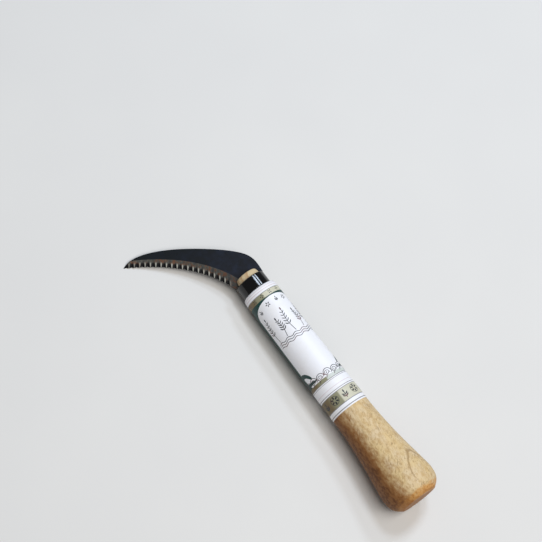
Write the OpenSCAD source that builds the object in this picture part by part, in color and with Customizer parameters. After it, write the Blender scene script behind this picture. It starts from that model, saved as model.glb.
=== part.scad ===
// Small serrated weeding sickle: a crescent blade pinned into a turned wooden handle.
// Frame: origin at the centre of the flat butt face. +X runs along the handle to the blade,
// +Y lies in the blade's plane towards its tip, and +Z points out of the ground face.

/* [Handle] */
// Length of the wood, from the butt face to the end that stands out of the ferrule
handle_len = 183.6; // [170:0.2:200]
// Largest radius of the flared butt
flare_r = 18.9; // [17:0.1:22]
// Radius of the flat butt face
butt_face_r = 12.6; // [9:0.1:14]
// Radius of the grip where the flare has died out
grip_low_r = 13.1; // [12:0.1:15]
// Radius of the grip at its slim end, next to the ferrule
grip_high_r = 11.8; // [11.3:0.1:12.8]

/* [Ferrule] */
// Distance from the butt face to the ferrule's outer rim
rim_x = 179.2; // [165:0.2:179.2]
// Length of the ferrule
ferrule_len = 9.2; // [7:0.1:12]
// Outer radius of the ferrule
ferrule_r = 10.4; // [10:0.1:10.9]
// Wall of the ferrule
ferrule_wall = 1.4; // [1:0.1:2]
// How far the ferrule and its seat sit off the handle's axis, towards the cutting edge
ferrule_offset = 0.5; // [0:0.1:0.8]

/* [Blade] */
// Thickness of the blade plate
blade_t = 1.6; // [1.2:0.1:2.4]
// Thickness left at the cutting edge
edge_t = 0.25; // [0.15:0.05:0.5]
// Width of the ground bevel at the heel
bevel_heel_w = 6.8; // [4:0.1:8]
// Width of the ground bevel at the tip
bevel_tip_w = 4.2; // [2:0.1:6]
// Number of flutes cut across the bevel
flute_count = 20; // [10:1:21]
// Distance from flute to flute, square to their length
flute_pitch = 3.47; // [3:0.01:3.5]
// Radius of the cutter that makes the flutes
flute_r = 3.2; // [2.4:0.1:3.6]
// Depth of a flute at the cutting edge, below the bevel
flute_depth = 0.33; // [0.28:0.01:0.4]

/* [Tang and pin] */
// Length of the tang inside the handle
tang_len = 62; // [40:1:80]
// Width of the tang at the shoulders
tang_root_w = 13; // [10:0.5:15]
// Width of the tang at its end
tang_end_w = 8; // [6:0.5:10]
// Thickness of the tang
tang_t = 1.4; // [1:0.1:1.6]
// Radius of the pin through handle and tang
pin_r = 1.25; // [1:0.05:1.8]
// Distance from the ferrule's rim back to the pin
pin_back = 19; // [14:0.5:30]

/* [Label] */
// Distance from the butt face to the label's lower end
label_low_x = 72; // [72:0.5:90]
// Thickness of the label
label_t = 0.2; // [0.1:0.05:0.4]
// Angle by which the label's ends overlap, on the side away from the ground face
label_overlap = 26; // [10:1:45]

/* [Hidden] */
$fn = 96;
gap = 0.05;                 // clearance of the tang, blade and pin in the wood
seat_x = rim_x - ferrule_len;
spigot_r = ferrule_r - ferrule_wall;
rim_round = 0.5;            // rounding of the ferrule's outer corners
pin_x = rim_x - pin_back;
pin_sink = 0.4;             // how far each end of the pin lies below the wood's surface
flare_len = 72;             // where the flare has died out
crown_x = 12;               // where the flare is widest
shoulder_len = 3;           // rounded shoulder between grip and ferrule
shoulder_top_r = ferrule_r + 0.2;
reach = 20;                 // overshoot of cuts that pass right through

// Outline of the blade as cubic curves, measured from the shoulder line at the ferrule's rim
edge_curve = [[0, 11.3], [22.8, 18.5], [41.3, 39], [54, 62.6]];
heel_curve = [[0, -10.2], [11.6, -11.4], [15, -11], [25.4, 0.4]];
spine_curve = [[25.4, 0.4], [33.9, 9.9], [62.2, 46], [54, 62.6]];

// Outline of the wood as cubic curves, [distance from the butt face, radius]
butt_curve = [[0, butt_face_r], [3.2, butt_face_r + 4.6], [5.6, flare_r], [crown_x, flare_r]];
flare_curve = [[crown_x, flare_r], [20, flare_r - 0.2], [41, grip_low_r + 0.4], [flare_len, grip_low_r]];
shoulder_curve = [
    [seat_x - shoulder_len, grip_high_r],
    [seat_x - 1.2, grip_high_r],
    [seat_x, grip_high_r - 0.4],
    [seat_x, shoulder_top_r]
];
nose_r = spigot_r - 2.2;    // radius of the wood's flat end
nose_curve = [
    [rim_x, spigot_r - 0.6],
    [rim_x + 2.4, spigot_r - 1],
    [handle_len, spigot_r - 1.1],
    [handle_len, nose_r]
];

// Point at t (0 to 1) on a cubic curve of four control points
function curve_at(c, t) =
    pow(1 - t, 3) * c[0] + 3 * t * pow(1 - t, 2) * c[1] + 3 * t * t * (1 - t) * c[2] + pow(t, 3) * c[3];

// Unit direction of the curve at t
function slope_at(c, t) =
    let (s = pow(1 - t, 2) * (c[1] - c[0]) + 2 * t * (1 - t) * (c[2] - c[1]) + t * t * (c[3] - c[2]))
    s / norm(s);

// n steps of the curve, leaving out the last point so that curves can be chained
function curve_points(c, n) = [for (i = [0:n - 1]) curve_at(c, i / n)];

// The same list from its last entry to its first
function reversed(list) = [for (i = [len(list) - 1:-1:0]) list[i]];

// Turns [distance, radius] pairs into the [radius, distance] pairs that a lathe profile takes
function lathe(points) = [for (p = points) [p[1], p[0]]];

// Spins a [radius, distance] profile about the handle's axis
module turned(profile, angle = 360) {
    rotate([0, 90, 0])
        rotate_extrude(angle = angle)
            polygon(profile);
}

// ---- handle ----

module handle_body() {
    profile = concat(
        curve_points(butt_curve, 10),
        curve_points(flare_curve, 20),
        curve_points(shoulder_curve, 6),
        [[seat_x, shoulder_top_r], [seat_x, 0], [0, 0]]
    );
    turned(lathe(profile));
}

// Seat of the ferrule, with the end of the wood that stands out of it
module spigot() {
    profile = concat(
        [[seat_x - shoulder_len, 0], [seat_x - shoulder_len, spigot_r], [rim_x - 1, spigot_r]],
        curve_points(nose_curve, 8),
        [[handle_len, nose_r], [handle_len, 0]]
    );
    translate([0, ferrule_offset, 0])
        turned(lathe(profile));
}

// Flat tapered tang, from end_x to the shoulder line, grown by a clearance
module tang_shape(clearance) {
    root = tang_root_w / 2 + clearance;
    end = tang_end_w / 2 + clearance;
    end_x = rim_x - tang_len - clearance;
    translate([0, ferrule_offset, -tang_t / 2 - clearance])
        linear_extrude(tang_t + 2 * clearance)
            polygon([[end_x, -end], [end_x, end], [rim_x + gap, root], [rim_x + gap, -root]]);
}

// Saw cut that takes the full width of the blade above the ferrule's rim
module blade_cut() {
    translate([rim_x, -reach, -blade_t / 2 - gap])
        cube([reach, 2 * reach, blade_t + 2 * gap]);
}

module pin_hole(r) {
    translate([pin_x, ferrule_offset, -reach])
        cylinder(h = 2 * reach, r = r, $fn = 48);
}

module handle() {
    color("burlywood")
        difference() {
            union() {
                handle_body();
                spigot();
            }
            tang_shape(gap);
            blade_cut();
            pin_hole(pin_r);
        }
}

// ---- ferrule ----

// Corner rounding of the ferrule's profile, centre c, from angle a to a + 90
function corner(c, a, n = 4) =
    [for (i = [0:n]) c + rim_round * [cos(a + 90 * i / n), sin(a + 90 * i / n)]];

module ferrule() {
    inner = spigot_r;
    outer = ferrule_r - rim_round;
    profile = concat(
        [[inner, seat_x]],
        corner([outer, seat_x + rim_round], -90),
        corner([outer, rim_x - rim_round], 0),
        [[inner, rim_x]]
    );
    color("#15151a")
        translate([0, ferrule_offset, 0])
            turned(profile);
}

// ---- blade ----

flute_dir = [0.8, -0.6];        // way the flutes run, from the cutting edge into the blade
step_dir = [0.6, 0.8];          // way they follow each other, from heel to tip
first_flute = 14.8;             // place of the first flute, measured along step_dir
flute_len = 4.5;                // how far a flute runs up the bevel before it dies out

function bevel_w(t) = bevel_heel_w + (bevel_tip_w - bevel_heel_w) * t;

// Direction from the cutting edge into the blade, square to the edge
function inward(t) = let (s = slope_at(edge_curve, t)) [s[1], -s[0]];

// Place t on the edge where a flute at distance g along step_dir meets it
function edge_t_at(g, low = 0, high = 1, n = 18) =
    let (mid = (low + high) / 2)
    n == 0 ? mid
    : curve_at(edge_curve, mid) * step_dir < g ? edge_t_at(g, mid, high, n - 1)
    : edge_t_at(g, low, mid, n - 1);

module blade_plate() {
    outline = concat(
        curve_points(heel_curve, 10),
        curve_points(spine_curve, 24),
        curve_points(reversed(edge_curve), 30),
        [edge_curve[0]]
    );
    translate([0, 0, -blade_t / 2])
        linear_extrude(blade_t)
            polygon(outline);
}

// Metal that grinding takes off: a wedge swept along the cutting edge
module bevel_waste(steps = 30) {
    over = 3;                   // how far it reaches out past the edge
    above = 1;                  // how far it reaches above the blade's face
    top = blade_t / 2 + above;
    rings = [
        for (i = [-1:steps + 1])
            let (t = i / steps, e = curve_at(edge_curve, t), n = inward(t), w = bevel_w(t))
            let (rise = (blade_t - edge_t) / w, low = -blade_t / 2 + edge_t)
            let (a = e + n * (w + above / rise), b = e - n * over)
            [[a[0], a[1], top], [b[0], b[1], low - over * rise], [b[0], b[1], top]]
    ];
    count = len(rings);
    points = [for (r = rings) for (p = r) p];
    sides = [
        for (i = [0:count - 2])
            for (k = [0:2])
                let (a = 3 * i + k, b = 3 * i + (k + 1) % 3)
                for (f = [[a, b + 3, b], [a, a + 3, b + 3]]) f
    ];
    last = 3 * (count - 1);
    polyhedron(points, concat(sides, [[0, 1, 2], [last + 2, last + 1, last]]));
}

// One flute: a round groove that is deepest at the cutting edge
module flute(g) {
    t = edge_t_at(g);
    e = curve_at(edge_curve, t);
    rise = (blade_t - edge_t) / bevel_w(t) * (inward(t) * flute_dir);
    climb = atan(rise + flute_depth / flute_len);
    bottom = -blade_t / 2 + edge_t - flute_depth;
    translate([e[0], e[1], bottom])
        rotate([0, 0, atan2(flute_dir[1], flute_dir[0])])
            rotate([0, 90 - climb, 0])
                translate([-flute_r, 0, -flute_len])
                    cylinder(h = 4 * flute_len, r = flute_r, $fn = 32);
}

module blade() {
    color("#26262c")
        difference() {
            union() {
                translate([rim_x, 0, 0])
                    difference() {
                        blade_plate();
                        bevel_waste();
                        for (i = [0:flute_count - 1]) flute(first_flute + i * flute_pitch);
                    }
                tang_shape(0);
            }
            pin_hole(pin_r);
        }
}

// ---- pin and label ----

module tang_pin() {
    half = grip_high_r - pin_sink;
    color("silver")
        translate([pin_x, ferrule_offset, -half])
            cylinder(h = 2 * half, r = pin_r, $fn = 48);
}

// Profile of the label: the wood's own outline and the same moved out, from lift to lift + label_t
function label_side(lift) =
    let (taper = (grip_low_r - grip_high_r) / (seat_x - shoulder_len - flare_len))
    let (low_r = grip_low_r - taper * (label_low_x - flare_len))
    [for (p = concat([[label_low_x, low_r]], curve_points(shoulder_curve, 6))) [p[0], p[1] + lift]];

module label_skin(lift, angle) {
    inner = label_side(lift);
    outer = label_side(lift + label_t);
    turned(lathe(concat(inner, reversed(outer))), angle);
}

module label() {
    color("white") {
        label_skin(0, 360);
        rotate([-label_overlap / 2, 0, 0])
            label_skin(label_t, label_overlap);
    }
}

blade();
handle();
ferrule();
tang_pin();
label();
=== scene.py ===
"""Looks of the small weeding sickle: camera, stage, light, materials and fine meshes.

Sizes and curves of the object are in millimetres, as in the CAD source, and reach Blender through
MM. Camera, stage and lights are in metres. The row frame: +X along the handle towards the blade,
+Y towards the blade's tip, +Z out of the ground face.
"""

import math

import bmesh
import bpy
import numpy as np
from mathutils import Matrix, Vector


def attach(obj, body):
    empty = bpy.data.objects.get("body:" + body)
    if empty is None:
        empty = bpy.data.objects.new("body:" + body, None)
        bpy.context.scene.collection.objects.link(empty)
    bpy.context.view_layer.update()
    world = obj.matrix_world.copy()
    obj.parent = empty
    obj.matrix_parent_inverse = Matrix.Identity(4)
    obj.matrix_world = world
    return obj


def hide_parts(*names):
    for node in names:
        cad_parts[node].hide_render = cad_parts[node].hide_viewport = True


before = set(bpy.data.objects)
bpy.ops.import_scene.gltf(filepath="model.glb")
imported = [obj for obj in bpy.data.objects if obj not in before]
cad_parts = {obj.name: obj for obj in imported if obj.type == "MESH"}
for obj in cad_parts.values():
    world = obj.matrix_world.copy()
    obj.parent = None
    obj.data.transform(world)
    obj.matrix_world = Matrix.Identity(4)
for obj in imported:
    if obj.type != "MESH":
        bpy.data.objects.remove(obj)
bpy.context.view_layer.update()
MM = 0.001

# ---- sizes shared with the CAD model ----

SEAT_X, RIM_X, HANDLE_END = 170.0, 179.2, 183.6  # ferrule's two rims, end of the wood
FERRULE_R, SPIGOT_R, FERRULE_OFFSET = 10.4, 9.0, 0.5  # the ferrule sits off the axis, towards +Y
RIM_ROUND = 0.5
FLARE_R, BUTT_FACE_R, GRIP_LOW_R, GRIP_HIGH_R = 18.88, 12.6, 13.1, 11.8
CROWN_X, FLARE_END_X, SHOULDER_X = 12.0, 72.0, 167.0
SHOULDER_TOP_R = 10.6
BLADE_T, EDGE_T = 1.6, 0.25
BEVEL_HEEL_W, BEVEL_TIP_W = 6.8, 4.2
FLUTE_COUNT, FLUTE_PITCH, FLUTE_R, FLUTE_DEPTH = 20, 3.47, 3.2, 0.33
FLUTE_LEN, FIRST_FLUTE = 4.5, 14.8
HOLLOW_HALF_W, HOLLOW_LEN = 1.48, 2.75  # part of a flute that stays black from the hardening
TANG_T, TANG_LEN, TANG_ROOT_W, TANG_END_W = 1.4, 62.0, 13.0, 8.0
LABEL_LOW_X, LABEL_T, LABEL_OVERLAP = 72.0, 0.2, math.radians(26)
GAP = 0.05

BUTT_CURVE = [[0, BUTT_FACE_R], [3.2, BUTT_FACE_R + 4.6], [5.6, FLARE_R], [CROWN_X, FLARE_R]]
FLARE_CURVE = [[CROWN_X, FLARE_R], [20, FLARE_R - 0.2], [41, GRIP_LOW_R + 0.4], [FLARE_END_X, GRIP_LOW_R]]
SHOULDER_CURVE = [
    [SHOULDER_X, GRIP_HIGH_R],
    [168.8, GRIP_HIGH_R],
    [SEAT_X, GRIP_HIGH_R - 0.4],
    [SEAT_X, SHOULDER_TOP_R],
]
NOSE_R = SPIGOT_R - 2.2
NOSE_CURVE = [
    [RIM_X, SPIGOT_R - 0.6],
    [RIM_X + 2.4, SPIGOT_R - 1],
    [HANDLE_END, SPIGOT_R - 1.1],
    [HANDLE_END, NOSE_R],
]

# Blade outline, measured from the shoulder line at the ferrule's rim
EDGE_CURVE = [[0, 11.3], [22.8, 18.5], [41.3, 39], [54, 62.6]]
EDGE_LEN = 77  # about, along that curve
HEEL_CURVE = [[0, -10.2], [11.6, -11.4], [15, -11], [25.4, 0.4]]
SPINE_CURVE = [[25.4, 0.4], [33.9, 9.9], [62.2, 46], [54, 62.6]]
FLUTE_DIR = np.array([0.8, -0.6])  # way a flute runs, from the cutting edge into the blade
STEP_DIR = np.array([0.6, 0.8])  # way the flutes follow each other


# ---- curves and meshes ----


def bezier(curve, t):
    """Points of a cubic curve at the parameters t."""
    c, t = np.array(curve, float), np.atleast_1d(t)[:, None]
    return (1 - t) ** 3 * c[0] + 3 * t * (1 - t) ** 2 * c[1] + 3 * t**2 * (1 - t) * c[2] + t**3 * c[3]


def bezier_slope(curve, t):
    """Unit direction of a cubic curve at the parameters t."""
    c, t = np.array(curve, float), np.atleast_1d(t)[:, None]
    s = (1 - t) ** 2 * (c[1] - c[0]) + 2 * t * (1 - t) * (c[2] - c[1]) + t**2 * (c[3] - c[2])
    return s / np.linalg.norm(s, axis=1, keepdims=True)


def chain(*pieces):
    """Joins lists of points, without the repeated point where two meet."""
    points = [tuple(p) for piece in pieces for p in piece]
    return [p for i, p in enumerate(points) if i == 0 or math.dist(p, points[i - 1]) > 1e-6]


def smoothstep(low, high, value):
    s = np.clip((value - low) / (high - low), 0, 1)
    return s * s * (3 - 2 * s)


def make_piece(name, points_mm, faces, material, sharp=40):
    """A mesh object from points in millimetres, shaded smooth except along sharp corners."""
    mesh = bpy.data.meshes.new(name)
    mesh.from_pydata([[c * MM for c in p] for p in points_mm], [], faces)
    mesh.materials.append(material)
    piece = bpy.data.objects.new(name, mesh)
    bpy.context.scene.collection.objects.link(piece)
    tidy_mesh(piece, sharp)
    return piece


def tidy_mesh(piece, sharp=40):
    """Welds doubled points, turns the faces outwards and marks corners over sharp degrees."""
    bm = bmesh.new()
    bm.from_mesh(piece.data)
    bmesh.ops.remove_doubles(bm, verts=bm.verts, dist=2e-7)
    bmesh.ops.dissolve_degenerate(bm, edges=bm.edges, dist=1e-8)
    bmesh.ops.recalc_face_normals(bm, faces=bm.faces)
    for face in bm.faces:
        face.smooth = True
    for edge in bm.edges:
        edge.smooth = len(edge.link_faces) == 2 and edge.calc_face_angle(0) < math.radians(sharp)
    bm.to_mesh(piece.data)
    bm.free()


def lathe(name, profile, material, segments=160, centre_y=0.0, sharp=40):
    """Turns a closed profile of (x, radius) pairs about a line along X. Radius 0 closes an end."""
    points, rings = [], []
    for x, r in profile:
        if r < 1e-9:
            rings.append([len(points)] * segments)
            points.append((x, centre_y, 0))
        else:
            rings.append(list(range(len(points), len(points) + segments)))
            for k in range(segments):
                a = 2 * math.pi * k / segments
                points.append((x, centre_y + r * math.sin(a), r * math.cos(a)))
    closed = profile[0][1] > 0
    faces = []
    for i in range(len(rings) if closed else len(rings) - 1):
        a, b = rings[i], rings[(i + 1) % len(rings)]
        for k in range(segments):
            n = (k + 1) % segments
            face = list(dict.fromkeys((a[k], a[n], b[n], b[k])))
            if len(face) > 2:
                faces.append(face)
    return make_piece(name, points, faces, material, sharp)


def block(name, low, high):
    """A box between two corners in millimetres, as a cutting tool."""
    bm = bmesh.new()
    bmesh.ops.create_cube(bm, size=1)
    for v in bm.verts:
        v.co = Vector([(low[i] + (v.co[i] + 0.5) * (high[i] - low[i])) * MM for i in range(3)])
    mesh = bpy.data.meshes.new(name)
    bm.to_mesh(mesh)
    bm.free()
    tool = bpy.data.objects.new(name, mesh)
    bpy.context.scene.collection.objects.link(tool)
    return tool


def combine(piece, tool, operation):
    """Applies a boolean of the tool to the piece and removes the tool."""
    modifier = piece.modifiers.new(operation.lower(), "BOOLEAN")
    modifier.object, modifier.operation, modifier.solver = tool, operation, "EXACT"
    graph = bpy.context.evaluated_depsgraph_get()
    mesh = bpy.data.meshes.new_from_object(piece.evaluated_get(graph))
    piece.modifiers.clear()
    piece.data = mesh
    bpy.data.objects.remove(tool)


def place(piece, slot, *nodes):
    """Rides the piece on the object's one body, in place of the CAD nodes named."""
    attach(piece, "root")
    if nodes:
        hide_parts(*nodes)


# ---- material nodes ----


def srgb(red, green, blue):
    """A linear colour from 0 to 255 display values."""
    def linear(c):
        c /= 255
        return c / 12.92 if c <= 0.04045 else ((c + 0.055) / 1.055) ** 2.4

    return (linear(red), linear(green), linear(blue), 1)


class Nodes:
    """Short names for the shader nodes that the materials share. Lengths are in millimetres."""

    def __init__(self, name):
        self.material = bpy.data.materials.new(name)
        self.material.use_nodes = True
        self.tree = self.material.node_tree
        self.tree.nodes.clear()
        self.shader = self.add("ShaderNodeBsdfPrincipled")
        output = self.add("ShaderNodeOutputMaterial")
        self.link(self.shader.outputs["BSDF"], output.inputs["Surface"])
        place_node = self.add("ShaderNodeTexCoord").outputs["Object"]
        scale = self.add("ShaderNodeVectorMath", operation="SCALE")
        scale.inputs["Scale"].default_value = 1 / MM
        self.link(place_node, scale.inputs[0])
        self.place = scale.outputs[0]

    def add(self, kind, **settings):
        node = self.tree.nodes.new(kind)
        for key, value in settings.items():
            setattr(node, key, value)
        return node

    def link(self, source, target):
        self.tree.links.new(source, target)

    def feed(self, socket, value):
        """Links a socket or sets a constant on the input."""
        if isinstance(value, bpy.types.NodeSocket):
            self.link(value, socket)
        else:
            socket.default_value = value

    def set(self, **inputs):
        for name, value in inputs.items():
            self.feed(self.shader.inputs[name.replace("_", " ")], value)

    def math(self, operation, a, b=0.0, c=0.0):
        node = self.add("ShaderNodeMath", operation=operation)
        for socket, value in zip(node.inputs, (a, b, c)):
            self.feed(socket, value)
        return node.outputs[0]

    def plus(self, a, b):
        return self.math("ADD", a, b)

    def minus(self, a, b):
        return self.math("SUBTRACT", a, b)

    def times(self, a, b):
        return self.math("MULTIPLY", a, b)

    def drift(self, value, noise, reach):
        """The value, moved by up to half the reach either way by a noise from 0 to 1."""
        return self.plus(value, self.times(self.minus(noise, 0.5), reach))

    def turned(self, a, b, angle):
        """a cos(angle) + b sin(angle), and b cos(angle) - a sin(angle)."""
        c, s = math.cos(angle), math.sin(angle)
        first = self.plus(self.times(a, c), self.times(b, s))
        return first, self.minus(self.times(b, c), self.times(a, s))

    def distance(self, a, b):
        """Length of the vector (a, b)."""
        return self.math("SQRT", self.plus(self.times(a, a), self.times(b, b)))

    def split(self, vector):
        node = self.add("ShaderNodeSeparateXYZ")
        self.link(vector, node.inputs[0])
        return node.outputs

    def join(self, x, y, z):
        node = self.add("ShaderNodeCombineXYZ")
        for socket, value in zip(node.inputs, (x, y, z)):
            self.feed(socket, value)
        return node.outputs[0]

    def stretch(self, vector, scale):
        node = self.add("ShaderNodeVectorMath", operation="MULTIPLY")
        self.link(vector, node.inputs[0])
        node.inputs[1].default_value = scale
        return node.outputs[0]

    def noise(self, vector, scale, detail=3.0, roughness=0.55, distortion=0.0):
        node = self.add("ShaderNodeTexNoise")
        self.link(vector, node.inputs["Vector"])
        settings = {"Scale": scale, "Detail": detail, "Roughness": roughness, "Distortion": distortion}
        for key, value in settings.items():
            node.inputs[key].default_value = value
        return node.outputs[0]

    def step(self, value, low, high, out_low=0.0, out_high=1.0):
        """Smooth step from out_low at low to out_high at high."""
        node = self.add("ShaderNodeMapRange", interpolation_type="SMOOTHSTEP")
        self.feed(node.inputs["Value"], value)
        limits = {"From Min": low, "From Max": high, "To Min": out_low, "To Max": out_high}
        for key, number in limits.items():
            node.inputs[key].default_value = number
        return node.outputs[0]

    def mix(self, share, a, b, blend="MIX"):
        node = self.add("ShaderNodeMix", data_type="RGBA", blend_type=blend)
        self.feed(node.inputs[0], share)
        self.feed(node.inputs[6], a)
        self.feed(node.inputs[7], b)
        return node.outputs[2]

    def attribute(self, name):
        return self.add("ShaderNodeAttribute", attribute_name=name).outputs["Fac"]

    def bump(self, height, distance_mm, strength=1.0):
        """Bump of the shader's normal, distance_mm deep where height runs from 0 to 1."""
        node = self.add("ShaderNodeBump")
        node.inputs["Strength"].default_value = strength
        node.inputs["Distance"].default_value = distance_mm * MM
        self.link(height, node.inputs["Height"])
        self.link(node.outputs[0], self.shader.inputs["Normal"])


# ---- wood ----

WOOD_PALE = srgb(220, 193, 143)
WOOD_PINK = srgb(220, 197, 158)
WOOD_TAN = srgb(194, 160, 108)
WOOD_RING = srgb(140, 104, 56)
WOOD_FLECK = srgb(128, 92, 50)
WOOD_END = srgb(210, 150, 74)
WOOD_HEART_AND_SHADE = srgb(136, 86, 38)
WOOD_DEEP_HEART_AND_SHADE = srgb(100, 58, 22)
WOOD_CUT = srgb(214, 196, 162)
WOOD_STAIN = srgb(164, 102, 44)
PITH_FAR = 75.0  # distance of the tree's centre from the handle's axis
PITH_TURN = math.radians(-35)  # side of the handle, from +Z towards +Y, that faces the bark
RING_PITCH = 3.6
CLEAR_RING_R = 91.9  # radius in the tree of the one ring that shows clearly
HEART_AND_SHADE_R, HEART_AND_SHADE_TAPER = 84.9, 0.08  # darker heartwood tone and painted shade inside this radius, less per mm of x
FLECK_TURN = math.radians(-36)  # of the flecks, from +X towards +Y


def wood_material():
    n = Nodes("handle_wood")
    x, y, z = n.split(n.place)
    cloud = n.noise(n.stretch(n.place, (0.07, 0.13, 0.13)), 1.0, 3, 0.55)
    mottle = n.noise(n.stretch(n.place, (0.3, 0.5, 0.5)), 1.0, 4, 0.65)
    fibre = n.noise(n.stretch(n.place, (0.2, 1.7, 1.7)), 1.0, 4, 0.65)
    colour = n.mix(n.step(cloud, 0.35, 0.65), WOOD_PALE, WOOD_PINK)
    colour = n.mix(n.step(mottle, 0.4, 0.68, 0.0, 0.72), colour, WOOD_TAN)
    colour = n.mix(n.step(fibre, 0.52, 0.78, 0.0, 0.3), colour, WOOD_RING)
    # Growth rings about the tree's centre; the flare cuts them into tongues
    outward, sideways = n.turned(z, y, PITH_TURN)
    radius = n.distance(n.plus(outward, PITH_FAR), sideways)
    wander = n.noise(n.stretch(n.place, (0.05, 0.08, 0.08)), 1.0, 3)
    radius = n.drift(radius, wander, 1.6)
    ring_start = CLEAR_RING_R - 0.95 * RING_PITCH
    ring = n.math("FRACT", n.math("DIVIDE", n.minus(radius, ring_start), RING_PITCH))
    late_wood = n.times(n.step(ring, 0.84, 0.95), n.step(ring, 1.0, 0.96))
    clear = n.step(radius, CLEAR_RING_R - 2.2, CLEAR_RING_R - 1.2, 0.16, 0.58)
    clear = n.times(clear, n.step(x, 7, 14, 0.15, 1.0))
    colour = n.mix(n.times(late_wood, clear), colour, WOOD_RING)
    # Ray flecks and pores: short ticks that run aslant of the grain
    along, across = n.turned(x, y, FLECK_TURN)
    ticks = n.noise(n.stretch(n.join(along, across, z), (0.42, 1.5, 0.9)), 1.0, 2, 0.55)
    sparse = n.noise(n.place, 0.16, 2)
    fleck = n.times(n.step(ticks, 0.54, 0.68), n.step(sparse, 0.35, 0.6, 0.35, 1.0))
    colour = n.mix(n.times(fleck, 0.55), colour, WOOD_FLECK)
    # Darker towards the tree's centre, on the +Y side that the key light leaves in shade: partly heartwood
    # tone, partly painted shade, with a ragged border
    inward = n.minus(n.minus(HEART_AND_SHADE_R, n.times(x, HEART_AND_SHADE_TAPER)), radius)
    inward = n.drift(n.drift(inward, cloud, 6.0), mottle, 8.0)
    colour = n.mix(n.step(inward, -5.0, 4.0, 0.0, 0.94), colour, WOOD_HEART_AND_SHADE)
    # Deeper painted shade with a little heartwood tone, patchy by the mottle
    deep = n.times(n.step(inward, 1.5, 8.0), n.step(mottle, 0.4, 0.6, 0.2, 1.0))
    colour = n.mix(deep, colour, WOOD_DEEP_HEART_AND_SHADE)
    # End grain takes up more of the finish, and its rings show
    patch = n.noise(n.stretch(n.place, (0.5, 0.2, 0.2)), 1.0, 3)
    end_place = n.plus(x, n.times(patch, 9.0))
    end_share = n.times(n.step(end_place, 10.0, 5.5), n.step(inward, 6.0, -4.0, 0.3, 0.85))
    colour = n.mix(end_share, colour, WOOD_END)
    stain = n.times(n.step(end_place, 8.5, 6.5), n.step(mottle, 0.48, 0.62, 0.0, 0.5))
    colour = n.mix(stain, colour, WOOD_STAIN)
    end_ring = n.times(n.step(ring, 0.25, 0.97, 0.0, 0.55), n.step(x, 1.6, 0.5))
    colour = n.mix(end_ring, colour, WOOD_STAIN)
    # Bare end grain in front of the ferrule
    nose = n.step(x, SEAT_X, SEAT_X + 2)
    colour = n.mix(n.times(nose, 0.7), colour, WOOD_CUT)
    nose_ring = n.times(n.step(ring, 0.25, 0.97, 0.0, 0.45), nose)
    colour = n.mix(nose_ring, colour, WOOD_STAIN)
    n.set(Base_Color=colour, Roughness=n.step(fibre, 0.2, 0.8, 0.46, 0.6), Specular_IOR_Level=0.24)
    relief = n.minus(n.times(fibre, 0.5), n.times(fleck, 0.7))
    relief = n.plus(relief, n.times(late_wood, 0.3))
    n.bump(relief, 0.06)
    return n.material


# ---- blade steel ----

SCALE_BLACK = srgb(20, 21, 26)
SCALE_BLUE = srgb(32, 37, 50)
SCALE_WORN = srgb(52, 50, 54)
GROUND_BROWN = srgb(60, 58, 54)
GROUND_GREY = srgb(82, 84, 78)
GROUND_RUST = srgb(98, 62, 42)
KEEN_STEEL_GLINT = srgb(168, 166, 156)
FLUTE_BLACK = srgb(9, 10, 12)
SCALE_TIP = srgb(10, 14, 14)


def blade_material():
    n = Nodes("blade_steel")
    x, y, z = n.split(n.place)
    ground, fluted, keen_glint = n.attribute("ground"), n.attribute("fluted"), n.attribute("keen_glint")
    cloud = n.noise(n.place, 0.13, 4, 0.6)
    grit = n.noise(n.place, 2.2, 4, 0.7)
    scratch = n.noise(n.stretch(n.place, (1.0, 0.12, 1.0)), 2.4, 3, 0.7)
    black = n.mix(n.step(cloud, 0.35, 0.7), SCALE_BLACK, SCALE_BLUE)
    black = n.mix(n.step(grit, 0.66, 0.8, 0.0, 0.35), black, SCALE_WORN)
    black = n.mix(n.step(x, 186, 232, 0.0, 0.75), black, SCALE_TIP)
    # Grinding lines run the same way as the flutes
    along, across = (
        n.plus(n.times(x, float(way[0])), n.times(y, float(way[1])))
        for way in (STEP_DIR, FLUTE_DIR)
    )
    rust = n.noise(n.place, 0.42, 3, 0.6)
    lines = n.noise(n.stretch(n.join(along, across, z), (3.5, 0.3, 1.0)), 1.0, 4, 0.7)
    steel = n.mix(n.step(lines, 0.35, 0.7), GROUND_BROWN, GROUND_GREY)
    steel = n.mix(n.step(rust, 0.46, 0.64, 0.0, 0.7), steel, GROUND_RUST)
    steel = n.mix(n.step(rust, 0.48, 0.32, 0.0, 0.5), steel, SCALE_WORN)
    steel = n.mix(n.step(x, 200, 186, 0.0, 0.2), steel, SCALE_WORN)
    # Paler steel along the ridges by the edge: partly freshly ground steel, partly painted highlight where
    # the ridges catch the light
    steel = n.mix(keen_glint, steel, KEEN_STEEL_GLINT)
    steel_share = n.step(n.drift(ground, grit, 0.35), 0.35, 0.65)
    colour = n.mix(steel_share, black, steel)
    colour = n.mix(fluted, colour, FLUTE_BLACK)
    bare = n.times(steel_share, n.minus(1.0, fluted))
    n.set(Base_Color=colour, Metallic=n.times(bare, 0.5))
    rough = n.plus(n.step(cloud, 0.3, 0.7, 0.42, 0.52), n.step(scratch, 0.4, 0.7, 0.0, 0.08))
    n.set(Roughness=rough, Specular_IOR_Level=0.1)
    relief = n.plus(n.times(lines, bare), n.times(grit, 0.4))
    n.bump(relief, 0.02)
    return n.material


# ---- ferrule and pin ----


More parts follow.
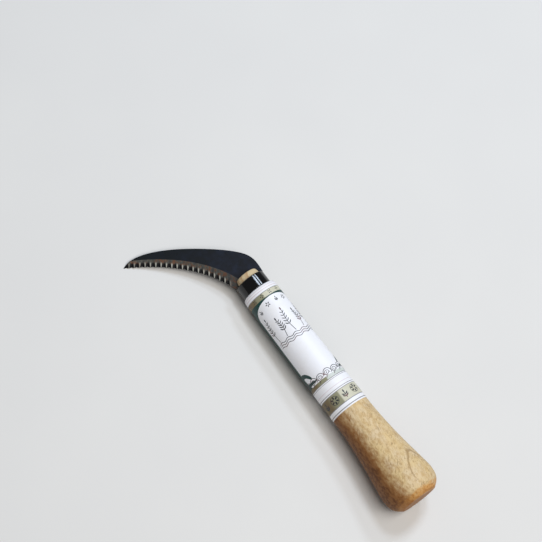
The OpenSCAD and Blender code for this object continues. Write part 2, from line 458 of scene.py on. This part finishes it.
def ferrule_material():
    n = Nodes("ferrule_black")
    x, y, z = n.split(n.place)
    cloud = n.noise(n.place, 0.35, 3)
    dust = n.noise(n.place, 3.0, 3, 0.7)
    colour = n.mix(n.step(dust, 0.62, 0.78, 0.0, 0.25), srgb(7, 7, 9), srgb(30, 29, 32))
    rim = n.math("MAXIMUM", n.step(x, SEAT_X + 0.6, SEAT_X + 0.1), n.step(x, RIM_X - 0.6, RIM_X - 0.1))
    radius = n.distance(n.minus(y, FERRULE_OFFSET), z)
    rim = n.times(rim, n.step(radius, FERRULE_R - 0.55, FERRULE_R - 0.3))
    worn = n.times(rim, n.step(dust, 0.45, 0.65))
    colour = n.mix(n.times(worn, 0.6), colour, srgb(110, 110, 116))
    n.set(Base_Color=colour, Metallic=n.times(worn, 0.5))
    n.set(Roughness=n.step(cloud, 0.3, 0.7, 0.07, 0.13), Specular_IOR_Level=0.48)
    n.bump(cloud, 0.03)
    return n.material


def pin_material():
    n = Nodes("pin_steel")
    drawn = n.noise(n.stretch(n.place, (6.0, 6.0, 0.4)), 1.0, 3, 0.6)
    tarnish = n.noise(n.place, 0.9, 3)
    colour = n.mix(n.step(tarnish, 0.4, 0.7), srgb(196, 196, 198), srgb(150, 146, 140))
    n.set(Base_Color=colour, Metallic=1.0, Roughness=n.step(drawn, 0.3, 0.7, 0.28, 0.45))
    n.bump(drawn, 0.01)
    return n.material


# ---- printed label ----

PAPER = srgb(243, 243, 247)
GREEN = srgb(18, 62, 58)
BEIGE = srgb(208, 205, 184)
OLIVE_AND_SHADE = srgb(146, 144, 118)
DEEP_OLIVE_SHADE = srgb(120, 104, 74)
LINE_GREY = srgb(140, 138, 140)
FAINT_PINK = srgb(222, 205, 210)
PALE_SAGE = srgb(208, 214, 208)

# Rings of print from the label's lower end upwards: where each colour starts
RINGS = [
    (71.0, PAPER), (72.9, LINE_GREY), (73.5, PAPER), (75.8, LINE_GREY), (76.3, BEIGE),
    (84.7, LINE_GREY), (85.1, PAPER), (85.9, LINE_GREY), (86.3, PAPER), (88.4, FAINT_PINK), (88.7, PAPER),
    (92.9, LINE_GREY), (93.2, PAPER), (93.8, LINE_GREY), (94.2, PALE_SAGE), (96.6, PAPER),
    (160.9, GREEN), (161.6, BEIGE), (165.0, LINE_GREY), (165.4, PAPER),
    (166.7, FAINT_PINK), (167.1, PAPER), (168.3, FAINT_PINK), (168.6, PAPER),
]
SHADE_TONED_RINGS = ((76.3, 84.7), (94.2, 96.6), (161.6, 165.0))  # these darken round the +Y side, away from the key light: partly the print's olive tone, partly painted shade
PANEL_TURN = math.radians(-4)  # middle of the white panel, from +Z towards +Y
PANEL_LOW, PANEL_HIGH = 96.6, 160.9
PANEL_HALF_W = 18.6
ARCH_H = 9.6  # height of the panel's arched end, next to the ferrule
FOOT_W, FOOT_H = 3.4, 12.0  # slanting corners at its other end


def grip_radius(x):
    """Radius of the wood under the label."""
    taper = (GRIP_LOW_R - GRIP_HIGH_R) / (SHOULDER_X - FLARE_END_X)
    return GRIP_LOW_R - taper * (x - FLARE_END_X)


PRINT_R = grip_radius(0.5 * (PANEL_LOW + PANEL_HIGH)) + LABEL_T


def label_material():
    n = Nodes("label_print")
    x, y, z = n.split(n.place)
    turn = n.math("ARCTAN2", y, z)
    # Rings, as a chain of hard steps along the handle
    colour = RINGS[0][1]
    for start, ring_colour in RINGS[1:]:
        colour = n.mix(n.math("GREATER_THAN", x, start), colour, ring_colour)
    shade_toned = 0.0
    for low, high in SHADE_TONED_RINGS:
        inside = n.times(n.math("GREATER_THAN", x, low), n.math("LESS_THAN", x, high))
        shade_toned = n.plus(shade_toned, inside)
    # Olive towards the +Y side and darker still further round: the first step is the print's tone, the
    # darker part is painted shade
    colour = n.mix(n.times(shade_toned, n.step(turn, 0.17, 0.26)), colour, OLIVE_AND_SHADE)
    colour = n.mix(n.times(shade_toned, n.step(turn, 0.6, 1.0)), colour, DEEP_OLIVE_SHADE)
    # Panel: an arch towards the ferrule and rounded corners at the foot, on a green ground
    across = n.times(n.math("PINGPONG", n.minus(turn, PANEL_TURN), math.pi), PRINT_R)
    arch_u = n.math("DIVIDE", across, PANEL_HALF_W)
    arch_v = n.math("MAXIMUM", n.math("DIVIDE", n.minus(x, PANEL_HIGH - ARCH_H), ARCH_H), 0.0)
    arch = n.plus(n.times(arch_u, arch_u), n.times(arch_v, arch_v))
    beyond_u = n.minus(across, PANEL_HALF_W - FOOT_W)
    beyond_v = n.minus(PANEL_LOW + FOOT_H, x)
    foot_u = n.math("MAXIMUM", n.math("DIVIDE", beyond_u, FOOT_W), 0.0)
    foot_v = n.math("MAXIMUM", n.math("DIVIDE", beyond_v, FOOT_H), 0.0)
    foot = n.plus(n.times(foot_u, foot_u), n.times(foot_v, foot_v))
    outside = n.math("GREATER_THAN", n.math("MAXIMUM", arch, foot), 1.0)
    in_field = n.times(n.math("GREATER_THAN", x, PANEL_LOW), n.math("LESS_THAN", x, PANEL_HIGH))
    colour = n.mix(n.times(outside, in_field), colour, GREEN)
    # Paper grain, handling marks and a little yellowing
    cloud = n.noise(n.place, 0.12, 3)
    grime = n.noise(n.place, 0.9, 4, 0.7)
    colour = n.mix(n.step(cloud, 0.45, 0.75, 0.0, 0.5), colour, srgb(250, 247, 240), "MULTIPLY")
    colour = n.mix(n.step(grime, 0.6, 0.8, 0.0, 0.5), colour, srgb(226, 222, 216), "MULTIPLY")
    n.set(Base_Color=colour, Roughness=n.step(cloud, 0.3, 0.7, 0.4, 0.5), Specular_IOR_Level=0.4)
    wrinkle = n.noise(n.stretch(n.place, (0.25, 0.1, 0.1)), 1.0, 2)
    n.bump(n.plus(wrinkle, n.times(grime, 0.1)), 0.1)
    return n.material


def ink_material():
    n = Nodes("label_ink")
    patchy = n.noise(n.place, 1.6, 3, 0.7)
    warm = n.noise(n.place, 0.09, 2)
    colour = n.mix(n.step(patchy, 0.4, 0.7), srgb(34, 37, 40), srgb(72, 74, 78))
    colour = n.mix(n.step(warm, 0.52, 0.62, 0.0, 0.6), colour, srgb(120, 66, 66))
    n.set(Base_Color=colour, Roughness=n.step(patchy, 0.3, 0.7, 0.4, 0.5), Specular_IOR_Level=0.4)
    n.bump(patchy, 0.01)
    return n.material


def reed_material():
    n = Nodes("label_reeds")
    patchy = n.noise(n.place, 0.9, 3, 0.7)
    colour = n.mix(n.step(patchy, 0.4, 0.7), srgb(12, 48, 46), srgb(24, 74, 70))
    n.set(Base_Color=colour, Roughness=n.step(patchy, 0.3, 0.7, 0.4, 0.5), Specular_IOR_Level=0.4)
    n.bump(patchy, 0.01)
    return n.material


# ---- handle, ferrule and label meshes ----


def build_handle():
    t = np.linspace(0, 1, 25)
    body = chain(
        [(0, 0)],
        [(0, r) for r in np.linspace(2, BUTT_FACE_R, 8)],
        bezier(BUTT_CURVE, t),
        bezier(FLARE_CURVE, np.linspace(0, 1, 49)),
        [(x, grip_radius(x)) for x in np.linspace(FLARE_END_X, SHOULDER_X, 41)],
        bezier(SHOULDER_CURVE, np.linspace(0, 1, 13)),
        [(SEAT_X, 0)],
    )
    spigot = chain(
        [(SEAT_X - 3, 0), (SEAT_X - 3, SPIGOT_R), (RIM_X - 0.8, SPIGOT_R)],
        bezier(NOSE_CURVE, np.linspace(0, 1, 17)),
        [(HANDLE_END, 0)],
    )
    wood = wood_material()
    handle = lathe("wooden_handle", body, wood)
    combine(handle, lathe("spigot", spigot, wood, centre_y=FERRULE_OFFSET), "UNION")
    half = BLADE_T / 2 + GAP
    combine(handle, block("kerf", (RIM_X, -20, -half), (RIM_X + 20, 20, half)), "DIFFERENCE")
    tidy_mesh(handle)
    place(handle, "handle_wood", "handle")


def build_ferrule():
    def corner(x, start):
        r = FERRULE_R - RIM_ROUND
        angles = [math.radians(start + 90 * i / 8) for i in range(9)]
        return [(x + RIM_ROUND * math.sin(a), r + RIM_ROUND * math.cos(a)) for a in angles]

    low = corner(SEAT_X + RIM_ROUND, -90)
    high = corner(RIM_X - RIM_ROUND, 0)
    profile = chain([(SEAT_X, SPIGOT_R)], low, high, [(RIM_X, SPIGOT_R)])
    ferrule = lathe("ferrule_ring", profile, ferrule_material(), centre_y=FERRULE_OFFSET)
    place(ferrule, "ferrule_black", "ferrule")


def label_lift(turn):
    """Height of the label's underside above the wood: its end climbs over its start."""
    climb = math.pi - LABEL_OVERLAP / 2
    return LABEL_T * smoothstep(climb - math.radians(9), climb, turn)


def label_profile():
    """(x, radius) along the wood under the label."""
    straight = [(x, grip_radius(x)) for x in np.linspace(LABEL_LOW_X, SHOULDER_X, 48)]
    return chain(straight, bezier(SHOULDER_CURVE, np.linspace(0, 5 / 6, 8)))


def build_label():
    """A sheet wound once round the grip, its end lying over its start."""
    reach = math.pi + LABEL_OVERLAP / 2
    turns = np.linspace(-reach, reach, 200)
    profile = label_profile()
    points, faces = [], []
    for turn in turns:
        lift = label_lift(turn)
        for height in (lift + 0.005, lift + LABEL_T - 0.005):
            side = [(x, r + height) for x, r in profile]
            points += [(x, r * math.sin(turn), r * math.cos(turn)) for x, r in side]
    count = len(profile)
    for i in range(len(turns) - 1):
        inner, outer = 2 * i * count, (2 * i + 1) * count
        step = 2 * count
        for j in range(count - 1):
            faces.append((inner + j, inner + j + 1, inner + step + j + 1, inner + step + j))
            faces.append((outer + j, outer + step + j, outer + step + j + 1, outer + j + 1))
        for j in (0, count - 1):
            faces.append((inner + j, inner + step + j, outer + step + j, outer + j))
    last = 2 * (len(turns) - 1) * count
    for base in (0, last):
        for j in range(count - 1):
            faces.append((base + j, base + j + 1, base + count + j + 1, base + count + j))
    label = make_piece("label_sheet", points, faces, label_material())
    place(label, "label_print", "label")


# ---- ink: raised prints on the label, in place along the handle and round it ----

INK_RISE = 0.02  # height of the ink above the label
RING_LOW_X, RING_HIGH_X, SCROLL_X = 80.8, 163.4, 98.0


class Ink:
    """Collects strokes as thin closed solids. A place is (x, round), where round is the distance
    round the label from the middle of the panel, towards the blade's tip."""

    def __init__(self):
        self.points, self.faces = [], []

    def wrap(self, x, around, rise):
        radius = grip_radius(min(x, SHOULDER_X)) + LABEL_T + rise
        turn = PANEL_TURN + around / PRINT_R
        return (x, radius * math.sin(turn), radius * math.cos(turn))

    def stroke(self, path, width):
        """A band along the path. Width is one number, or a function of the share of the path."""
        path = np.array(path, float)
        slope = np.gradient(path, axis=0)
        slope /= np.linalg.norm(slope, axis=1, keepdims=True)
        first = len(self.points)
        for i, (place_at, way) in enumerate(zip(path, slope)):
            share = i / (len(path) - 1)
            half = 0.5 * max(width(share) if callable(width) else width, 0.06)
            for side in (-1, 0, 1):
                x, around = place_at + side * half * np.array([-way[1], way[0]])
                self.points += [self.wrap(x, around, INK_RISE), self.wrap(x, around, -0.05)]
        ring = [0, 2, 4, 5, 3, 1]  # the section's corners, in order round it
        for i in range(len(path) - 1):
            a = first + 6 * i
            for k in range(6):
                m, n = ring[k], ring[(k + 1) % 6]
                self.faces.append((a + m, a + n, a + 6 + n, a + 6 + m))
        last = first + 6 * (len(path) - 1)
        self.faces += [[first + k for k in ring], [last + k for k in reversed(ring)]]

    def line(self, start, end, bow=0.0, width=0.35, steps=12):
        """A stroke from start to end that bows sideways by a share of its length."""
        start, end = np.array(start, float), np.array(end, float)
        side = np.array([start[1] - end[1], end[0] - start[0]])
        middle = (start + end) / 2 + 2 * bow * side
        t = np.linspace(0, 1, steps + 1)[:, None]
        self.stroke((1 - t) ** 2 * start + 2 * t * (1 - t) * middle + t**2 * end, width)

    def arc(self, centre, radius, start, end, width=0.3):
        """A stroke along a circle, between two angles in degrees."""
        steps = max(6, round(abs(end - start) / 18))
        turn = np.radians(np.linspace(start, end, steps + 1))
        self.stroke(np.array(centre) + radius * np.stack([np.cos(turn), np.sin(turn)], 1), width)

    def curve(self, places, width, steps=6):
        """A smooth stroke through places given as (x, direction round the handle in degrees)."""
        p = np.array([(x, around(a)) for x, a in places], float)
        p = np.vstack([2 * p[0] - p[1], p, 2 * p[-1] - p[-2]])
        path = []
        for i in range(1, len(p) - 2):
            for s in np.arange(steps) / steps:
                rise = 0.5 * s * (p[i + 1] - p[i - 1])
                bend = 0.5 * s**2 * (2 * p[i - 1] - 5 * p[i] + 4 * p[i + 1] - p[i + 2])
                twist = 0.5 * s**3 * (3 * p[i] - p[i - 1] - 3 * p[i + 1] + p[i + 2])
                path.append(p[i] + rise + bend + twist)
        self.stroke([*path, p[-2]], width)

    def leaf(self, root, length, angle, fat=0.32, bow=0.06):
        """A filled leaf from its root, at an angle in degrees from the handle's direction."""
        a = math.radians(angle)
        tip = (root[0] + length * math.cos(a), root[1] + length * math.sin(a))
        self.line(root, tip, bow, lambda s: fat * length * math.sin(math.pi * s) ** 0.8, 8)

    def rosette(self, centre, size, petals, turn=0.0):
        for k in range(petals):
            angle = turn + 360 * k / petals
            a = math.radians(angle)
            root = (centre[0] + 0.12 * size * math.cos(a), centre[1] + 0.12 * size * math.sin(a))
            self.leaf(root, 0.4 * size, angle, 0.5, 0.0)

    def sprig(self, foot, height, angle=0.0, pairs=2):
        """A stem with pairs of leaves and one at its tip."""
        a = math.radians(angle)
        way = np.array([math.cos(a), math.sin(a)])
        foot = np.array(foot, float)
        self.line(foot, foot + 0.7 * height * way, 0.0, 0.08 * height, 4)
        for k in range(pairs):
            joint = foot + height * (0.15 + 0.42 * k / pairs) * way
            for side in (-1, 1):
                self.leaf(joint, 0.42 * height, angle + side * 52, 0.34, 0.08 * side)
        self.leaf(foot + 0.6 * height * way, 0.4 * height, angle, 0.4, 0.0)


def around(degrees):
    """Distance round the label for a direction from +Z towards +Y."""
    return (math.radians(degrees) - PANEL_TURN) * PRINT_R


def meadow(ink):
    """The panel's drawing: a row of leafy stems over three lines of waves."""
    for k in range(3):
        turns = np.arange(-80, 73, 3)
        waves = [(128.4 + 1.5 * k + 0.5 * math.sin(0.22 * a + 0.5 * k), around(a)) for a in turns]
        ink.stroke(waves, 0.42)
    foot = 132.6
    for k, a in enumerate((-68, -36, -4, 28, 60)):
        height, lean = (16.4, 5) if k % 2 == 0 else (12.6, -5)
        ink.curve([(foot, a), (foot + 0.5 * height, a + lean), (foot + height, a)], 0.4)
        for j in range(5):
            share = 0.36 + 0.13 * j
            joint = (foot + share * height, around(a + lean * math.sin(math.pi * share)))
            for side in (-1, 1):
                ink.leaf(joint, 3.0 - 0.25 * j, 50 * side, 0.24, 0.06 * side)
        ink.leaf((foot + height - 0.2, around(a)), 2.4, 0, 0.4, 0.0)


def build_ink():
    ink = Ink()
    # Lower ring: sprigs and rosettes by turns
    for k in range(10):
        place_at = around(-2 + 36 * k)
        if k % 2:
            ink.rosette((RING_LOW_X, place_at), 5.6, 6)
            ink.arc((RING_LOW_X, place_at), 2.9, 0, 360, 0.3)
        else:
            ink.sprig((RING_LOW_X - 3.0, place_at), 6.0, 0, 2)
    # Upper ring and the panel's arch
    for k in range(12):
        ink.rosette((RING_HIGH_X, around(18 + 30 * k)), 2.9, 4, 45 * (k % 2))
    for k, a in enumerate((-72, -42, -14, 18, 50)):
        side = math.radians(a) - PANEL_TURN
        centre = (PANEL_HIGH - ARCH_H + 6.0 * math.cos(0.9 * side), around(a))
        if k % 2:
            ink.rosette(centre, 3.6, 5, 20)
        else:
            ink.sprig((centre[0] - 1.7, centre[1]), 3.6, 20 * side, 2)
    meadow(ink)
    # Clouds along the panel's foot
    clouds = 14
    for k in range(clouds):
        a = 360 / clouds * (k - clouds / 2)
        centre = (SCROLL_X + 0.5 * (k % 2), around(a))
        ink.arc(centre, 2.7, -95, 95, 0.42)
        ink.arc((centre[0] - 0.2, centre[1] + 0.4), 1.6, -120, 170, 0.36)
        ink.arc((centre[0] - 0.4, centre[1] + 0.2), 0.7, 0, 300, 0.34)
        ink.arc((centre[0] - 1.6, centre[1] + 2.8), 1.2, -170, 60, 0.34)
    place(make_piece("label_ink", ink.points, ink.faces, ink_material(), 60), "label_print")
    # Reeds in solid colour at the panel's lower corners
    reeds = Ink()
    middle = math.degrees(PANEL_TURN)
    for side in (-1, 1):
        for width, places in (
            (2.6, [(98.4, 98), (98.8, 80), (98.9, 60), (98.4, 38)]),
            (3.4, [(104.6, 98), (106.0, 80), (105.4, 66), (103.4, 56), (101.0, 49)]),
            (4.2, [(95.0, 92), (101.0, 90), (108.0, 92)]),
        ):
            turned = [(x, middle + side * (a - middle)) for x, a in places]
            reeds.curve(turned, lambda s: width * (1 - s) ** 0.32)
    place(make_piece("label_reeds", reeds.points, reeds.faces, reed_material(), 60), "label_print")


# ---- blade mesh ----


def bevel_width(t):
    return BEVEL_HEEL_W + (BEVEL_TIP_W - BEVEL_HEEL_W) * t


def edge_place(points):
    """For points in the blade's plane: parameter of the nearest place on the cutting edge, and
    the distance from it into the blade."""
    t = np.linspace(-0.08, 1.08, 700)
    edge, slope = bezier(EDGE_CURVE, t), bezier_slope(EDGE_CURVE, t)
    nearest = np.array([np.argmin(((edge - p) ** 2).sum(1)) for p in points])
    t, edge, slope = t[nearest], edge[nearest], slope[nearest]
    along = ((points - edge) * slope).sum(1)
    inward = np.stack([slope[:, 1], -slope[:, 0]], 1)
    return t + along / EDGE_LEN, ((points - edge) * inward).sum(1)


def flute_starts():
    """Where each flute meets the cutting edge: place and parameter."""
    t = np.linspace(0, 1, 2000)
    edge = bezier(EDGE_CURVE, t)
    step_at = edge @ STEP_DIR
    nearest = [np.argmin(abs(step_at - FIRST_FLUTE - k * FLUTE_PITCH)) for k in range(FLUTE_COUNT)]
    return [(edge[i], t[i]) for i in nearest]


def ground_face(points):
    """Height of the blade's upper face, whether the bevel is there, and the shares from 0 to 1
    of a flute's dark hollow and of the bright ridge between two flutes, a painted highlight
    where the ridges catch the light."""
    t, depth_in = edge_place(points)
    low = -BLADE_T / 2 + EDGE_T
    slope = (BLADE_T - EDGE_T) / bevel_width(t)
    bevel = low + slope * depth_in
    face = np.minimum(bevel, BLADE_T / 2)
    flutes, hollow_reach, off_flute = np.full((3, len(points)), 9.0)
    for start, t_start in flute_starts():
        tangent = bezier_slope(EDGE_CURVE, t_start)[0]
        square_on = tangent[1] * FLUTE_DIR[0] - tangent[0] * FLUTE_DIR[1]
        rise = (BLADE_T - EDGE_T) / bevel_width(t_start) * square_on
        climb = rise + FLUTE_DEPTH / FLUTE_LEN
        along, beside = (points - start) @ FLUTE_DIR, (points - start) @ STEP_DIR
        inside = abs(beside) < FLUTE_R * 0.98
        hollow = FLUTE_R - np.sqrt(np.maximum(FLUTE_R**2 - beside**2, 0))
        surface = low - FLUTE_DEPTH + climb * along + hollow * math.hypot(1, climb)
        flutes = np.where(inside, np.minimum(flutes, surface), flutes)
        reach = (abs(beside) / HOLLOW_HALF_W) ** 3 + (abs(along) / HOLLOW_LEN) ** 2.4
        hollow_reach = np.minimum(hollow_reach, reach)
        off_flute = np.minimum(off_flute, abs(beside))
    dark = smoothstep(1.5, 0.5, hollow_reach)
    bright = smoothstep(3.6, 1.8, depth_in) * smoothstep(1.0, 1.6, off_flute)
    # No painted ridge highlight before the first flute, and duller ones towards the tip
    step_at = points @ STEP_DIR
    bright *= smoothstep(FIRST_FLUTE - 3, FIRST_FLUTE, step_at) * smoothstep(95, 50, step_at)
    return np.minimum(face, flutes), bevel < BLADE_T / 2, dark, bright


def solve_along(start, end, reached, steps=26):
    """Share of the way from start to end, for each pair, at which reached() turns true."""
    low, high = np.zeros(len(start)), np.ones(len(start))
    for _ in range(steps):
        middle = (low + high) / 2
        hit = reached(start + middle[:, None] * (end - start))
        low, high = np.where(hit, low, middle), np.where(hit, middle, high)
    return high


def build_blade(columns=460, bevel_rows=22, flat_rows=9, round_rows=5):
    t = np.linspace(0, 1, columns + 1)
    edge = bezier(EDGE_CURVE, t)
    heel = bezier(HEEL_CURVE, np.linspace(0, 1, 80))
    back = np.array(chain(heel, bezier(SPINE_CURVE, np.linspace(0, 1, 160))))
    length = np.concatenate([[0], np.cumsum(np.linalg.norm(np.diff(back, axis=0), axis=1))])
    back = np.stack([np.interp(t * length[-1], length, back[:, k]) for k in range(2)], 1)
    bottom = -BLADE_T / 2
    edge_min = 0.03  # thickness left where a flute breaks through the edge
    tip = np.linalg.norm(back - edge, axis=1) < 1e-3
    first = solve_along(edge, back, lambda p: ground_face(p)[0] > bottom + edge_min)
    crest = solve_along(edge, back, lambda p: ~ground_face(p)[1])
    first[tip] = 0
    crest = np.clip(crest, first, 1)
    corner = 0.25  # rounding of the back's two corners
    span = np.maximum(np.linalg.norm(back - edge, axis=1), 1e-6)
    round_from = np.maximum(1 - corner / span, crest + (1 - crest) * 0.5)
    shares = []
    for j in range(bevel_rows + 1):
        shares.append(first + (crest - first) * j / bevel_rows)
    for j in range(1, flat_rows + 1):
        shares.append(crest + (round_from - crest) * j / flat_rows)
    for j in range(1, round_rows + 1):
        shares.append(round_from + (1 - round_from) * math.sin(math.pi / 2 * j / round_rows))
    tops, bottoms, masks = [], [], []
    for j, share in enumerate(shares):
        flat = edge + share[:, None] * (back - edge)
        z, _, dark, bright = ground_face(flat)
        rounded = max(j - bevel_rows - flat_rows, 0) / round_rows
        drop = corner * (1 - math.cos(math.pi / 2 * rounded))
        drop = np.minimum(drop, 0.45 * (z - bottom))
        if j <= bevel_rows:
            drop = 0 * drop
        tops.append(np.column_stack([flat, z - drop]))
        bottoms.append(np.column_stack([flat, bottom + drop]))
        ground = np.full(len(t), 1.0 if j < bevel_rows else 0.45 if j == bevel_rows else 0.0)
        masks.append(np.stack([ground, dark * (j < bevel_rows), bright], 1))
    rows, count = len(shares), columns + 1
    points = np.concatenate([np.concatenate(tops), np.concatenate(bottoms)])
    points[:, 0] += RIM_X
    under = rows * count
    faces = []
    for j in range(rows - 1):
        for i in range(columns):
            a = j * count + i
            faces.append((a, a + count, a + count + 1, a + 1))
            faces.append((under + a, under + a + 1, under + a + count + 1, under + a + count))
    for i in range(columns):
        for a in (i, (rows - 1) * count + i):
            faces.append((a, a + 1, under + a + 1, under + a))
    for j in range(rows - 1):
        for a in (j * count, j * count + columns):
            faces.append((a, under + a, under + a + count, a + count))
    mask = np.concatenate([np.concatenate(masks), np.zeros((under, 3))])
    blade = blade_object(points, faces, mask)
    place(blade, "blade_steel", "blade")


def tang_geometry(first_index):
    """The tang inside the handle, as a closed prism whose root runs into the blade."""
    tail, root, overlap = TANG_END_W / 2, TANG_ROOT_W / 2, 2.0
    outline = [(RIM_X - TANG_LEN, -tail), (RIM_X, -root), (RIM_X + overlap, -root)]
    outline += [(x, -y) for x, y in reversed(outline)]
    count = len(outline)
    points = [(x, y + FERRULE_OFFSET, z) for z in (-TANG_T / 2, TANG_T / 2) for x, y in outline]
    low, high = list(range(count)), list(range(count, 2 * count))
    faces = [low[::-1], high]
    faces += [(i, (i + 1) % count, count + (i + 1) % count, count + i) for i in range(count)]
    return points, [[first_index + i for i in face] for face in faces]


def blade_object(points, faces, mask):
    """The blade's mesh with its tang and the three masks that its material reads."""
    tang_points, tang_faces = tang_geometry(len(points))
    mesh = bpy.data.meshes.new("crescent_blade")
    corners = [[c * MM for c in p] for p in [*points.tolist(), *tang_points]]
    mesh.from_pydata(corners, [], faces + tang_faces)
    for k, name in enumerate(("ground", "fluted", "keen_glint")):
        values = np.concatenate([mask[:, k], np.zeros(len(tang_points))]).astype(np.float32)
        mesh.attributes.new(name, "FLOAT", "POINT").data.foreach_set("value", values)
    mesh.materials.append(blade_material())
    blade = bpy.data.objects.new("crescent_blade", mesh)
    bpy.context.scene.collection.objects.link(blade)
    tidy_mesh(blade, 32)
    return blade


# ---- camera, stage and light ----

VIEW_DISTANCE = 1.327  # of the camera from the handle's axis
VIEW_LEAN = math.radians(15.22)  # how far it leans towards the blade's tip
VIEW_BEHIND_BUTT = 0.1194
LOOK_AT = Vector((0.1766, -0.0149, 0))
HANDLE_TURN = math.radians(-127.73)  # way the handle points in the picture, down from its right
LENS = 138.8
FLOOR_NORMAL, FLOOR_DEPTH = (-0.044, -0.133, 0.99), 0.0194  # depth under the frame's origin


def build_camera():
    eye = VIEW_DISTANCE * Vector((0, math.sin(VIEW_LEAN), math.cos(VIEW_LEAN)))
    eye.x = -VIEW_BEHIND_BUTT
    forward = (LOOK_AT - eye).normalized()
    along = Vector((1, 0, 0))
    along = (along - forward * along.dot(forward)).normalized()
    beside = forward.cross(along)
    right = along * math.cos(HANDLE_TURN) - beside * math.sin(HANDLE_TURN)
    up = -(along * math.sin(HANDLE_TURN) + beside * math.cos(HANDLE_TURN))
    data = bpy.data.cameras.new("camera")
    data.sensor_width, data.lens = 36, LENS
    camera = bpy.data.objects.new("camera", data)
    camera.matrix_world = Matrix.Translation(eye) @ Matrix((right, up, -forward)).transposed().to_4x4()
    bpy.context.scene.collection.objects.link(camera)
    bpy.context.scene.camera = camera


def build_floor():
    """The plane on which the butt's flare, the grip's shoulder and the blade's tip rest."""
    size = 1.6
    normal = Vector(FLOOR_NORMAL).normalized()
    centre = Vector((0.1, 0, 0))
    centre -= normal * (FLOOR_DEPTH + centre.dot(normal))
    turn = normal.to_track_quat("Z", "Y").to_matrix().to_4x4()
    mesh = bpy.data.meshes.new("floor")
    corners = [(-size, -size, 0), (size, -size, 0), (size, size, 0), (-size, size, 0)]
    mesh.from_pydata(corners, [], [(0, 1, 2, 3)])
    floor = bpy.data.objects.new("floor", mesh)
    floor.matrix_world = Matrix.Translation(centre) @ turn
    bpy.context.scene.collection.objects.link(floor)
    n = Nodes("floor")
    colour = n.mix(n.noise(n.place, 0.01, 2), srgb(221, 219, 216), srgb(227, 225, 221))
    n.set(Base_Color=colour, Roughness=0.9, Specular_IOR_Level=0.2)
    # Clear where seen from below, and fading out far from the object
    clear, both = n.add("ShaderNodeBsdfTransparent"), n.add("ShaderNodeMixShader")
    far = n.distance(*n.split(n.place)[:2])
    below = n.add("ShaderNodeNewGeometry").outputs["Backfacing"]
    n.link(n.math("MAXIMUM", below, n.step(far, 700, 1500)), both.inputs[0])
    n.link(n.shader.outputs[0], both.inputs[1])
    n.link(clear.outputs[0], both.inputs[2])
    n.link(both.outputs[0], n.tree.get_output_node("ALL").inputs["Surface"])
    mesh.materials.append(n.material)


def area_light(name, place_at, width, height, power, colour, aim=(0.12, 0, 0)):
    data = bpy.data.lights.new(name, "AREA")
    data.shape, data.size, data.size_y = "RECTANGLE", width, height
    data.energy, data.color = power, colour
    light = bpy.data.objects.new(name, data)
    away = Vector(place_at) - Vector(aim)
    side = Vector((1, 0, 0)) - away * (away.x / away.length_squared)
    side.normalize()
    back = away.normalized()
    turn = Matrix((side, back.cross(side), back)).transposed().to_4x4()
    light.matrix_world = Matrix.Translation(place_at) @ turn
    bpy.context.scene.collection.objects.link(light)


def overhead(angle_degrees, distance, x=0.12):
    """A place over the handle, turned from +Z towards +Y by the angle."""
    a = math.radians(angle_degrees)
    return (x, distance * math.sin(a), distance * math.cos(a))


WORLD_LIGHT = 0.17
WORLD_SEEN = 0.5  # brightness behind the stage, close to the floor's own


def build_world():
    world = bpy.data.worlds.new("studio")
    world.use_nodes = True
    tree = world.node_tree
    background = tree.nodes["Background"]
    background.inputs["Color"].default_value = (0.99, 0.99, 1.0, 1)
    strength = tree.nodes.new("ShaderNodeMapRange")
    strength.inputs["To Min"].default_value = WORLD_LIGHT
    strength.inputs["To Max"].default_value = WORLD_SEEN
    tree.links.new(tree.nodes.new("ShaderNodeLightPath").outputs["Is Camera Ray"], strength.inputs["Value"])
    tree.links.new(strength.outputs[0], background.inputs["Strength"])
    bpy.context.scene.world = world


def build_light():
    build_world()
    area_light("key", overhead(-9, 1.5, -0.45), 1.0, 1.1, 17.6, (1.0, 0.98, 0.955))
    # Two short strips that the ferrule mirrors towards the camera as two bright lines
    area_light("strip_high", overhead(-24, 1.5, 0.5), 0.3, 0.3, 6.4, (0.72, 0.84, 1.0))
    area_light("strip_low", overhead(-43, 1.5, 0.5), 0.3, 0.2, 4.4, (0.72, 0.84, 1.0))
    bpy.context.scene.view_settings.view_transform = "Standard"


build_camera()
build_floor()
build_light()
build_handle()
build_ferrule()
build_label()
build_ink()
build_blade()
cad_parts["tang_pin"].data.materials.clear()
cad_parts["tang_pin"].data.materials.append(pin_material())
